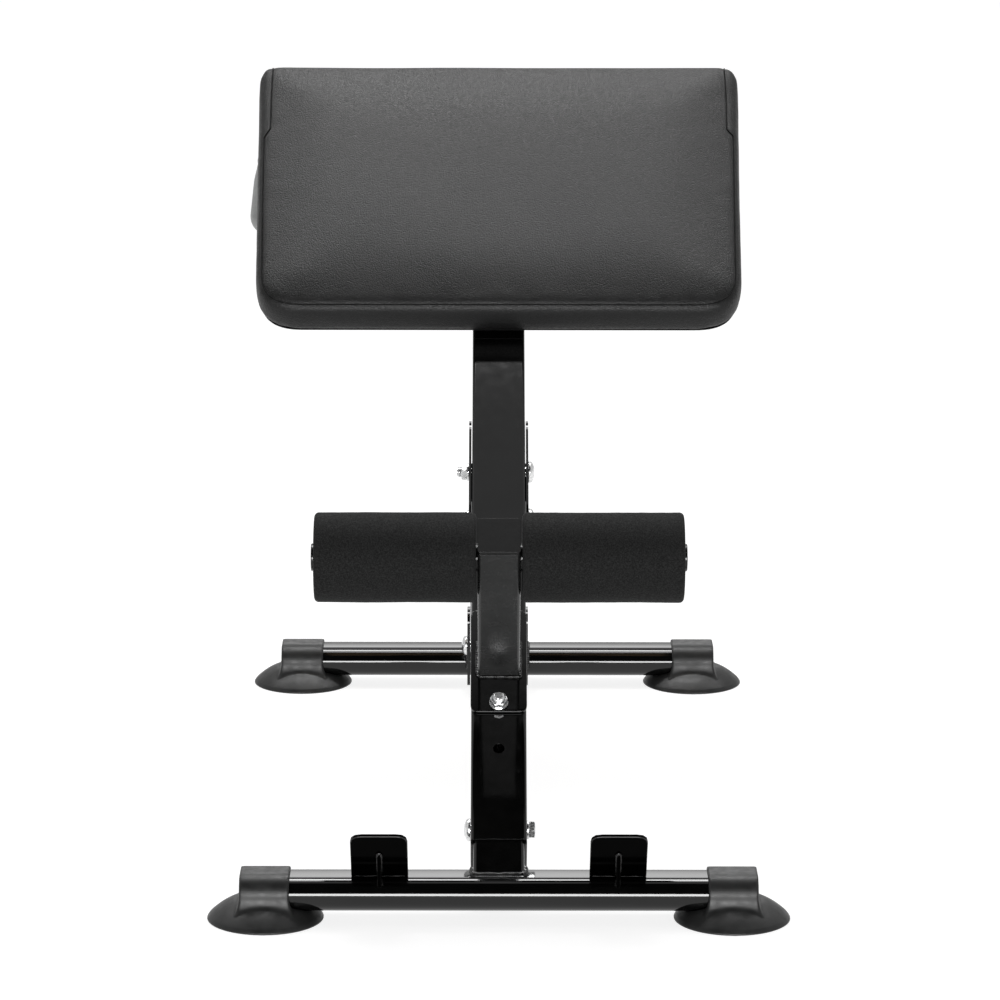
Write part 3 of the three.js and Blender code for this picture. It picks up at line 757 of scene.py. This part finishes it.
def bolt_shape(size, length, threaded):
    """A button-head bolt along Z: the head rises from zero, and the shank goes down."""
    radius, head, height, key = size["radius"], size["head"], size["height"], size["key"]
    sides = 48
    rows = max(2, round(threaded / size["pitch"] * 8))
    rings = []
    for row in range(rows + 1):
        z = -length + threaded * row / rows
        point_taper = 0.8 + 0.2 * min(1, (z + length) / (1.2 * MM))
        depth = THREAD_DEPTH * min(1, (rows - row) / 4)

        def thread(turn):
            phase = (z / size["pitch"] - turn / (2 * pi)) % 1
            return (radius - abs(phase - 0.5) * 2 * depth) * point_taper

        rings.append(ring(thread, z, sides))
    outline = [(radius, -0.2 * MM), (radius, 0), (head - 0.5 * MM, 0), (head, 0.4 * MM)]
    for step in range(9):
        turn = pi / 2 * step / 9
        reach = 0.3 * MM + (head - 0.3 * MM) * cos(turn) ** 0.8 * 0.99
        if reach < key * 1.45:
            break
        outline.append((reach, 0.9 * MM + (height - 0.9 * MM) * sin(turn)))
    outline.append((key * 1.35, height - 0.05 * MM))
    rings += [ring(reach, z, sides) for reach, z in outline]
    for z in (height - 0.35 * MM, height - 3 * MM):
        rings.append(ring(lambda turn: hexagon_reach(key, turn), z, sides))
    rings.append(ring(key * 0.3, height - 3.6 * MM, sides))
    return loft(rings)


def nut_shape(radius, across, height, washer):
    """A chamfered hexagonal nut standing on a flat washer, with an open bore, along Z."""
    apothem = across / 2
    sides = 72
    rings = []
    for share in (0, 0.06, 0.12, 0.18, 0.5, 0.82, 0.88, 0.94, 1):
        z = washer + height * share
        cone = apothem * 0.97 + min(z - washer, washer + height - z) * 1.7
        rings.append(ring(lambda turn: min(hexagon_reach(apothem, turn), cone), z, sides))
    bore, chamfer = radius + 0.25 * MM, 0.8 * MM
    outline = [(bore + chamfer, washer + height), (bore, washer + height - chamfer), (bore, 0)]
    if washer:
        edge = 0.2 * MM
        outline += [(WASHER_RADIUS - edge, 0), (WASHER_RADIUS, edge)]
        outline += [(WASHER_RADIUS, washer - edge), (WASHER_RADIUS - edge, washer)]
    rings += [ring(reach, z, sides) for reach, z in outline]
    return loft(rings, closed=True)


def seat_of(place, node, axis):
    """Where a fastener starts along its axis, and how long it is."""
    low, high = box_in(place, node)
    centre = (low + high) / 2
    direction = Vector(axis)
    length = abs((high - low).dot(direction))
    return centre - direction * length / 2, length


def make_bolt(node, place, axis, size, threaded=0.0):
    start, length = seat_of(place, node, axis)
    shank = length - size["height"]
    seat = start + Vector(axis) * shank
    at = place @ Matrix.Translation(seat) @ facing(axis)
    shape = bolt_shape(size, shank, threaded or size["pitch"] * 2)
    add_piece(f"{node}_zinc", shape, "zinc_steel", at, replaces=[node], crease=32)


def make_nut(node, place, axis, washer=1.5 * MM):
    start, length = seat_of(place, node, axis)
    at = place @ Matrix.Translation(start) @ facing(axis)
    shape = nut_shape(M10["radius"], NUT_ACROSS, length - washer, washer)
    add_piece(f"{node}_zinc", shape, "zinc_steel", at, replaces=[node], crease=32)


def make_fasteners():
    left, right, back, front = (-1, 0, 0), (1, 0, 0), (0, 0, -1), (0, 0, 1)
    make_bolt("front_cross_bolt", BEAM, left, M10, 10 * MM)
    make_nut("front_cross_nut", BEAM, right)
    for level in ("upper", "lower"):
        make_bolt(f"apex_{level}_bolt", BEAM, right, M10, 16 * MM)
        make_nut(f"apex_{level}_nut", BEAM, left)
        make_bolt(f"arm_{level}_bolt", BEAM, back, M10, 16 * MM)
        make_nut(f"arm_{level}_nut", BEAM, front)
        for side_name in SIDES:
            make_bolt(f"pad_bolt_{level}_{side_name}", BEAM, back, M8, 8 * MM)
    make_bolt("rear_bolt", WORLD, left, M10, 14 * MM)
    make_nut("rear_nut", WORLD, left, washer=0)


# ---------------- handlebar and grips

HANDLE_RADIUS = 12.5 * MM
HANDLE_WALL = 1.6 * MM
HANDLE_BEND = 38 * MM
HANDLE_SPLAY = radians(2.5)
HANDLE_CORNER_X = 221.6 * MM
HANDLE_LEG = 124 * MM
HANDLE_D = 912 * MM
HANDLE_OFFSET = -4 * MM

handle_depth = middle(BEAM, "handlebar").z
leg_direction = Vector((sin(HANDLE_SPLAY), -cos(HANDLE_SPLAY), 0))
handle_corner = Vector((HANDLE_CORNER_X, HANDLE_D, handle_depth))
handle_place = BEAM @ Matrix.Translation((HANDLE_OFFSET, 0, 0))


def handle_path():
    """A straight bar, a true bend at each corner, and two legs."""
    turn = pi / 2 - HANDLE_SPLAY
    tangent = HANDLE_BEND * tan(turn / 2)
    bend_start = handle_corner - Vector((tangent, 0, 0))
    centre = bend_start - Vector((0, HANDLE_BEND, 0))
    right = []
    for step in range(17):
        a = pi / 2 - turn * step / 16
        right.append(centre + Vector((cos(a), sin(a), 0)) * HANDLE_BEND)
    leg = handle_corner + leg_direction * HANDLE_LEG
    right += [right[-1].lerp(leg, share) for share in (0.33, 0.66, 1)]
    left = [Vector((-p.x, p.y, p.z)) for p in reversed(right)]
    return left + [Vector((0, HANDLE_D, handle_depth))] + right


def make_handlebar():
    path = handle_path()
    inner = HANDLE_RADIUS - HANDLE_WALL
    sections = []
    for radius, line in ((HANDLE_RADIUS, path), (inner, list(reversed(path)))):
        for i, point in enumerate(line):
            before, after = line[max(i - 1, 0)], line[min(i + 1, len(line) - 1)]
            along = (after - before).normalized() * (1 if radius == HANDLE_RADIUS else -1)
            out = along.cross(Vector((0, 0, 1)))
            turns = (2 * pi * k / 40 for k in range(40))
            sections.append([
                point + (out * cos(a) + Vector((0, 0, 1)) * sin(a)) * radius for a in turns
            ])
    shape = loft(sections, closed=True)
    add_piece("handle_tube", shape, "black_paint", handle_place, replaces=["handlebar"])


GRIP_RADIUS = 18.4 * MM
GRIP_MOUTH_RADIUS = 16.4 * MM
GRIP_BORE = 12.9 * MM
GRIP_LENGTH = 94 * MM
GRIP_SWELL = 34 * MM
GRIP_END = 9 * MM
GRIP_END_ROUND = 20 * MM
GRIP_END_POWER = 2.4


def grip_profile():
    """A smooth barrel with a round end, that narrows to a rolled lip at its mouth."""
    mouth = GRIP_END - GRIP_LENGTH
    profile = []
    for step in range(25):
        part = (step / 24) ** 2
        radius = GRIP_RADIUS * sqrt(1 - (1 - part) ** GRIP_END_POWER)
        profile.append((radius, GRIP_END - GRIP_END_ROUND * part))
    for step in range(17):
        share = step / 16
        narrowing = share * share * (3 - 2 * share)
        radius = GRIP_RADIUS + (GRIP_MOUTH_RADIUS - GRIP_RADIUS) * narrowing
        profile.append((radius, mouth + 4 * MM + (GRIP_SWELL - 4 * MM) * (1 - share)))
    profile += arc((GRIP_MOUTH_RADIUS - 0.9 * MM, mouth + 1.5 * MM), 1.5 * MM, 50, -90, 8)
    return profile + [(GRIP_BORE, mouth), (GRIP_BORE, 0.3 * MM), (0, 0.3 * MM)]


def make_grips():
    for side_name, side in SIDES.items():
        node = f"grip_{side_name}"
        leg = handle_corner + leg_direction * HANDLE_LEG
        direction = Vector((side * leg_direction.x, leg_direction.y, 0))
        at = handle_place @ Matrix.Translation((side * leg.x, leg.y, leg.z)) @ facing(direction)
        shape = lathe(grip_profile(), 72)
        sleeve = add_piece(f"hand_{node}", shape, "grip_rubber", at, replaces=[node], crease=50)


# ---------------- hip pad

PAD_LOW_HALF = 232 * MM
PAD_HIGH_HALF = 238 * MM
PAD_LOW_CORNER = 42 * MM
PAD_HIGH_CORNER = 14 * MM
PAD_BULLNOSE = 8 * MM
SEAM_INSET = 3.2 * MM
SEAM_HEIGHT = 43 * MM
SEAM_DEPTH = 0.5 * MM
SEAM_SPREAD = 2.4 * MM
SEAM_REACH = 8 * MM
NOTCH_INSET = 12 * MM
NOTCH_D = 808 * MM
BOARD_INSET = 13 * MM
CROWN = 7 * MM
CROWN_REACH = 46 * MM
PAD_VOXEL = 4.5 * MM
SWELL_CAP = 4.5 * MM
SWELL_PRESSURE = 4
SWELL_FRAMES = 20

pad_low, pad_high = box_in(BEAM, "pad_cushion")
pad_x = (pad_low.x + pad_high.x) / 2


def pad_outline(inset, count=200):
    """The pad's outline, drawn in by an inset. Its count of points is the same at every inset."""
    low, high = PAD_LOW_HALF - inset, PAD_HIGH_HALF - inset
    start, end = pad_low.y + inset, pad_high.y - inset
    low_run, high_run = (max(run - inset, 4 * MM) for run in (PAD_LOW_CORNER, PAD_HIGH_CORNER))
    outline = rounded_outline([
        (-low, start, low_run), (low, start, low_run), (high, end, high_run), (-high, end, high_run),
    ], 10)
    return [point + Vector((pad_x, 0)) for point in resampled(outline, count)]


def pad_levels():
    """Insets and heights from the back to the middle of the face."""
    back, seam = pad_low.z, SEAM_HEIGHT
    levels = [(1.5 * MM, back), (0.2 * MM, back + 0.8 * MM), (-0.6 * MM, back + 3 * MM)]
    levels += [(-1.6 * MM, back + share * (seam - back)) for share in (0.25, 0.5, 0.75)]
    levels += [(0.2 * MM, seam - 3.5 * MM), (1.8 * MM, seam - 1 * MM)]
    for step in range(9):
        share = step / 8
        inset = SEAM_INSET + CROWN_REACH * share
        levels.append((inset, seam + CROWN * sin(share * pi / 2)))
    return levels


def round_top_edge(point):
    """Rolls the face over the top edge, where the cover wraps round with no seam."""
    reach = pad_high.y - point.y
    top = SEAM_HEIGHT + 0.5 * MM
    if reach < PAD_BULLNOSE and point.z > top - PAD_BULLNOSE:
        drop = PAD_BULLNOSE - sqrt(max(0, PAD_BULLNOSE ** 2 - (PAD_BULLNOSE - reach) ** 2))
        point.z = min(point.z, top + 3 * MM - drop)
    return point


def pad_start():
    """The pad's shape before it swells: a closed form on its outline."""
    rings = []
    for inset, height in pad_levels():
        rings.append([round_top_edge(Vector((p.x, p.y, height))) for p in pad_outline(inset)])
    return loft(rings)


def seam_path():
    """Seam between face and sides: down the left, along the bottom and up the right."""
    count = 600
    outline = pad_outline(SEAM_INSET, count)
    left_notch = Vector((pad_x - 200 * MM, NOTCH_D))
    start = min(range(count), key=lambda i: (outline[i] - left_notch).length)
    walk = [outline[(start + i) % count] for i in range(count)]
    if walk[40].y > walk[0].y:
        walk = [outline[(start - i) % count] for i in range(count)]
    low = []
    for point in walk:
        low.append(Vector((point.x, point.y, SEAM_HEIGHT)))
        if point.x > pad_x and point.y > NOTCH_D:
            break
    face = SEAM_HEIGHT + 3 * MM

    def notch(side):
        x = pad_x + side * (PAD_HIGH_HALF - NOTCH_INSET)
        edge = pad_high.y
        return [
            Vector((x, edge, 16 * MM)), Vector((x, edge + 1 * MM, face - PAD_BULLNOSE)),
            Vector((x, edge - 4 * MM, face - 3 * MM)), Vector((x, edge - PAD_BULLNOSE, face)),
            Vector((x + side * 0.6 * MM, NOTCH_D + 45 * MM, face)),
            Vector((x, NOTCH_D + 9 * MM, face)),
            Vector((x + side * 2 * MM, NOTCH_D + 6.5 * MM, face)),
        ]

    path = notch(-1) + low + list(reversed(notch(1)))
    return resampled(path, 700, closed=False)


def inflate(piece, pinned, cap):
    """Swells a closed mesh by cloth pressure. Pinned points stay, and none moves past the cap."""
    rest = [vertex.co.copy() for vertex in piece.data.vertices]
    group = piece.vertex_groups.new(name="pinned")
    for index, weight in pinned:
        group.add([index], weight, "REPLACE")
    cloth = piece.modifiers.new("cloth", "CLOTH")
    cloth.settings.use_pressure = True
    cloth.settings.uniform_pressure_force = SWELL_PRESSURE
    cloth.settings.effector_weights.gravity = 0
    cloth.settings.vertex_group_mass = group.name
    cloth.point_cache.frame_start = 1
    cloth.point_cache.frame_end = SWELL_FRAMES
    for step in range(1, SWELL_FRAMES + 1):
        bpy.context.scene.frame_set(step)
    apply_modifiers(piece)
    bpy.context.scene.frame_set(1)
    piece.vertex_groups.clear()
    for vertex, start in zip(piece.data.vertices, rest):
        move = vertex.co - start
        if move.length > 1e-9:
            vertex.co = start + move * (cap * tanh(move.length / cap) / move.length)


def near_seam(path):
    tree = kdtree.KDTree(len(path))
    for index, point in enumerate(path):
        tree.insert(point, index)
    tree.balance()
    return tree


def displace(mesh, offset):
    """Moves each vertex along its normal, by an offset that depends on its place."""
    normals = [vertex.normal.copy() for vertex in mesh.vertices]
    for vertex, normal in zip(mesh.vertices, normals):
        vertex.co += normal * offset(vertex.co)


def pucker(mesh, tree):
    """Small pulls in the face beside the seam, and the slight unevenness of a stuffed cover."""

    def offset(spot):
        if spot.z < 20 * MM:
            return 0
        distance = tree.find(spot)[2]
        pull = exp(-distance / (16 * MM)) * (1 - exp(-distance / (3 * MM)))
        return noise.noise(spot * 55) * 0.55 * MM * pull + noise.noise(spot * 9) * 0.7 * MM

    displace(mesh, offset)


def sink_seam(mesh, tree):
    """Draws the cover in along its seam."""

    def offset(spot):
        distance = tree.find(spot)[2]
        return -SEAM_DEPTH * exp(-((distance / SEAM_SPREAD) ** 2)) if distance < SEAM_REACH else 0

    displace(mesh, offset)


def board_recess():
    """The room that the board takes in the cushion's back."""
    gap = 0.3 * MM
    high = box_in(BEAM, "pad_board")[1].z
    outline = pad_outline(BOARD_INSET - gap)
    levels = (pad_low.z - 10 * MM, high + gap)
    return loft([[Vector((p.x, p.y, z)) for p in outline] for z in levels])


def make_cushion():
    cushion = loose_object("cushion_shape", pad_start())
    remesh = cushion.modifiers.new("remesh", "REMESH")
    remesh.mode = "VOXEL"
    remesh.voxel_size = PAD_VOXEL
    apply_modifiers(cushion)
    seam = near_seam(seam_path())
    pinned = []
    for vertex in cushion.data.vertices:
        distance = seam.find(vertex.co)[2]
        if vertex.co.z < pad_low.z + 3 * MM:
            pinned.append((vertex.index, 1.0))
        elif distance < 4 * MM or vertex.co.y > pad_high.y - 10 * MM:
            pinned.append((vertex.index, 0.9))
    inflate(cushion, pinned, SWELL_CAP)
    soften = cushion.modifiers.new("soften", "CORRECTIVE_SMOOTH")
    soften.iterations = 6
    soften.use_only_smooth = True
    finer = cushion.modifiers.new("finer", "SUBSURF")
    finer.levels = finer.render_levels = 1
    apply_modifiers(cushion)
    surface = surface_tree(cushion.data)
    path = [surface.find_nearest(point)[0] for point in seam_path()]
    tree = near_seam(path)
    pucker(cushion.data, tree)
    sink_seam(cushion.data, tree)
    surface = surface_tree(cushion.data)
    seam_line = [surface.find_nearest(point)[:2] for point in path]
    boolean(cushion, loose_object("recess", board_recess()), "DIFFERENCE")
    mesh = cushion.data
    bpy.data.objects.remove(cushion)
    cover = add_piece("hip_cushion", mesh, "pad_leatherette", BEAM, replaces=["pad_cushion"], crease=60)
    make_seam(seam_line)


def make_seam(line):
    """A thin dark tube along the seam, which paints the shade in the seam's crease, and the stitches
    that show beside the notches.
    """
    work = bmesh.new()
    # This dark tube is painted shade: it draws the seam's crease as a dark line.
    tube(work, [spot + normal * 0.4 * MM for spot, normal in line], 0.6 * MM, 8, ends=0.01)
    add_piece("cushion_seam_shade", work, "pad_leatherette", BEAM, material=THREAD_AND_SEAM_SHADE)
    work = bmesh.new()
    stitch, gap = 3.2 * MM, 1.6 * MM
    travelled, dash = 0.0, []
    for (spot, normal), (following, _) in zip(line, line[1:]):
        travelled += (following - spot).length
        if travelled % (stitch + gap) < stitch:
            dash.append(spot + normal * 0.55 * MM)
        elif dash:
            if len(dash) > 2 and dash[0].y > NOTCH_D:
                tube(work, dash, 0.5 * MM, 6, ends=0.3)
            dash = []
    add_piece("cushion_stitches", work, "pad_leatherette", BEAM, material=THREAD_AND_SEAM_SHADE)


def make_hem():
    """The cover's edge, folded over the board's back with pleats at its corners."""
    outer, inner = 2.5 * MM, 36 * MM
    thickness, fold, ragged = 0.9 * MM, 1.5 * MM, 0.5 * MM
    count, steps = 400, 6
    draw = random.Random(7)
    wobble = [draw.uniform(-1, 1) for _ in range(count)]
    lines = [pad_outline(outer + (inner - outer) * s / steps, count) for s in range(steps + 1)]
    rim = lines[0]
    sharp = [(rim[i] - rim[i - 2]).angle(rim[(i + 2) % count] - rim[i]) for i in range(count)]
    bottom, top = [], []
    for s, line in enumerate(lines):
        low_ring, high_ring = [], []
        for i, point in enumerate(line):
            pleat = min(1, sharp[i] * 6) * s / steps * (0.5 + 0.5 * sin(i * 1.9)) * fold
            fray = wobble[i] * ragged * (s == steps)
            spot = Vector((point.x, point.y + fray, pad_low.z - 0.05 * MM))
            high_ring.append(spot)
            low_ring.append(spot - Vector((0, 0, thickness + pleat)))
        bottom.append(low_ring)
        top.append(high_ring)
    shape = loft(bottom + list(reversed(top)), closed=True)
    add_piece("cushion_hem", shape, "pad_leatherette", BEAM, crease=50)


def make_staples():
    """Wire staples that hold the hem to the board."""
    crown, leg, wire = 6 * MM, 4 * MM, 0.45 * MM
    line = pad_outline(27 * MM, 36)
    draw = random.Random(11)
    work = bmesh.new()
    for i, point in enumerate(line):
        along = (line[(i + 1) % len(line)] - line[i - 1]).normalized()
        along.rotate(Matrix.Rotation(draw.uniform(-0.25, 0.25), 2))
        along = along.to_3d()
        spot = Vector((point.x, point.y, pad_low.z - 1.5 * MM))
        into = Vector((0, 0, leg))
        corner = 0.8 * MM
        path = [
            spot - along * crown + into, spot - along * crown + Vector((0, 0, corner)),
            spot - along * (crown - corner), spot + along * (crown - corner),
            spot + along * crown + Vector((0, 0, corner)), spot + along * crown + into,
        ]
        tube(work, path, wire, 8)
    add_piece("cushion_staples", work, "zinc_steel", BEAM)


# ---------------- weld beads

def bead(work, path, radius, draw):
    """A ripple-topped fillet along a line, with tapered ends."""
    length = sum((b - a).length for a, b in zip(path, path[1:]))
    count = max(8, round(length / (0.45 * MM)))
    line = resampled(path, count, closed=False)
    beat = 1.9 * MM
    phase = draw.uniform(0, 1)
    sway = [draw.uniform(0.82, 1.18) for _ in range(count // 9 + 2)]

    def size(share):
        ripple = 1 + 0.3 * abs(sin(pi * (share * length / beat + phase)))
        index = share * (count // 9)
        low = int(index)
        drift = sway[low] + (sway[low + 1] - sway[low]) * (index - low)
        return radius * ripple * drift

    tube(work, line, size, 10, ends=0.04)


def drop_to_tube(point, direction, centre, depth, height):
    """Follows a line until it meets the oval cross tube, or None if it misses."""
    flat, radius = (depth - height) / 2, height / 2
    for step in range(1200):
        spot = point + direction * step * 0.1 * MM
        y = max(abs(spot.y - centre.y) - flat, 0)
        if hypot(y, spot.z - centre.z) <= radius:
            return spot
    return None


def make_stub_weld(draw):
    """Round the stub's foot, where it stands on the front cross tube."""
    section = cross_tube("front_base_tube")
    down = (BEAM.to_3x3() @ Vector((0, -1, 0))).normalized()
    inset, corner = 2.5 * MM, 3 * MM
    outline = rounded_rectangle(BEAM_SIZE / 2 - inset, inset - BEAM_SIZE, -inset, corner, 6)
    path = []
    for point in resampled(outline, 160):
        spot = drop_to_tube(BEAM @ Vector((point.x, 30 * MM, point.y)), down, *section)
        if spot:
            path.append((atan2(point.x, point.y + BEAM_SIZE / 2), spot))
    path.sort(key=lambda item: item[0])
    work = bmesh.new()
    bead(work, [spot for _, spot in path], 2.8 * MM, draw)
    add_piece("stub_weld", work, "black_paint", crease=60)


def make_arm_weld(draw):
    """Round the roller arm's foot, on its plate."""
    low, high = box_in(BEAM, "roller_arm")
    seat = box_in(BEAM, "arm_plate")[1].z + 0.6 * MM
    corners = [(low.x, low.y), (high.x, low.y), (high.x, high.y), (low.x, high.y), (low.x, low.y)]
    work = bmesh.new()
    bead(work, [Vector((x, y, seat)) for x, y in corners], 2.0 * MM, draw)
    add_piece("arm_weld", work, "black_paint", BEAM, crease=60)


def make_foot_plate_weld(side_name, draw):
    """On both faces of the plate, on both sides of its gusset, and up over the gusset's tip."""
    section = cross_tube("front_base_tube")
    face, top = section[0].y - 5 * MM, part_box("front_base_tube")[1].z
    plate_low, plate_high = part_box(f"foot_plate_{side_name}")
    gusset_low, gusset_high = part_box(f"foot_gusset_{side_name}")
    work = bmesh.new()

    def tube_bead(points, radius):
        down = Vector((0, 0, -1))
        starts = [Vector((x, y, top + 20 * MM)) for x, y in points]
        bead(work, [drop_to_tube(start, down, *section) for start in starts], radius, draw)

    start, width = plate_low.x + 1.5 * MM, plate_high.x - plate_low.x - 3 * MM
    for shift in (-1.4 * MM, 5.4 * MM):
        tube_bead([(start + width * step / 8, face + shift) for step in range(9)], 1.5 * MM)
    for edge in (gusset_low.x, gusset_high.x):
        tube_bead([(edge, face + 7 * MM + 17 * MM * step / 6) for step in range(7)], 1.2 * MM)
    root = Vector(((gusset_low.x + gusset_high.x) / 2, face, top))
    side, shoulder, tip = 1.9, 36.5, 39.5
    over_tip = [(-side, -3.6, 5), (-side, -3.6, shoulder), (0, -3.8, tip)]
    over_tip += [(side, -3.6, shoulder), (side, -3.6, 5)]
    bead(work, [root + BEAM.to_3x3() @ Vector(p) * MM for p in over_tip], 1.1 * MM, draw)
    add_piece(f"foot_plate_weld_{side_name}", work, "black_paint", crease=60)


def make_cheek_weld(side_name, side, draw):
    """Along the cheek's outer face, round the rear cross tube."""
    centre, depth, height = cross_tube("rear_base_tube")
    cheek_low, cheek_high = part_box(f"rear_cheek_{side_name}")
    outer = cheek_high.x if side > 0 else cheek_low.x
    radius, flat = height / 2, (depth - height) / 2
    path = []
    for step in range(25):
        turn = radians(200 - 110 * step / 24)
        y, z = centre.y - flat + radius * cos(turn), centre.z + radius * sin(turn)
        path.append(Vector((outer, y, z)))
    path.append(Vector((outer, centre.y + flat * 0.8, centre.z + radius)))
    work = bmesh.new()
    bead(work, path, 1.8 * MM, draw)
    add_piece(f"cheek_weld_{side_name}", work, "black_paint", crease=60)


def make_welds():
    draw = random.Random(23)
    make_stub_weld(draw)
    make_arm_weld(draw)
    for side_name in SIDES:
        make_foot_plate_weld(side_name, draw)
    for side_name, side in SIDES.items():
        make_cheek_weld(side_name, side, draw)


# ---------------- everything

make_studio()
finish_kept_nodes()
make_feet()
make_rollers()
make_axle_plugs()
make_fasteners()
make_handlebar()
make_grips()
make_cushion()
make_hem()
make_staples()
make_welds()
